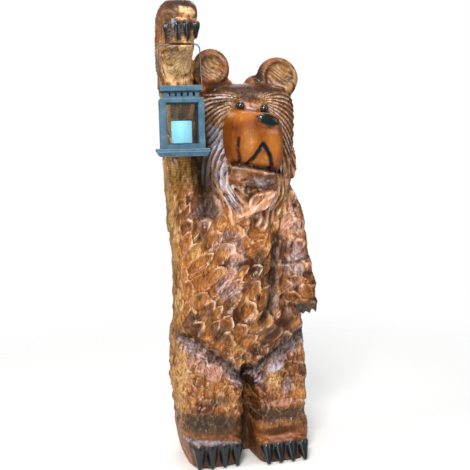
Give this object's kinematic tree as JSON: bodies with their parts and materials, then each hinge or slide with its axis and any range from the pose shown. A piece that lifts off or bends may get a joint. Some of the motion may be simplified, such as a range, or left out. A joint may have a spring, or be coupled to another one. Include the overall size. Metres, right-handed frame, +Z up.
{
  "type": "bear garden statue",
  "caption": "Carved wooden bear standing upright, one arm raised to hold up a small candle lantern by its wire handle; stands on its flat underside.",
  "frame": {"origin": "on the ground, under the wood between the bear's legs, on the flat underside", "axes": "+Z up, the bear faces -Y, +X to the right of someone who looks at its face"},
  "size_m": [0.3329, 0.2414, 0.9141],
  "materials": {
    "varnished_wood": "stained and glossy varnished carved log",
    "eye_gloss": "glossy black bead",
    "lantern_slate": "weathered blue-grey",
    "lantern_clear": "clear pane",
    "candle_wax": "smooth pale wax look",
    "bail_wire": "dull grey wire"
  },
  "bodies": {
    "root": {"bear": "varnished_wood", "eye_left": "eye_gloss", "eye_right": "eye_gloss", "lantern_roof": "lantern_slate", "lantern_frame": "lantern_slate", "lantern_base": "lantern_slate", "lantern_pane_front": "lantern_clear", "lantern_pane_back": "lantern_clear", "lantern_pane_left": "lantern_clear", "lantern_pane_right": "lantern_clear", "candle": "candle_wax", "lantern_bail": "bail_wire"}
  },
  "joints": []
}
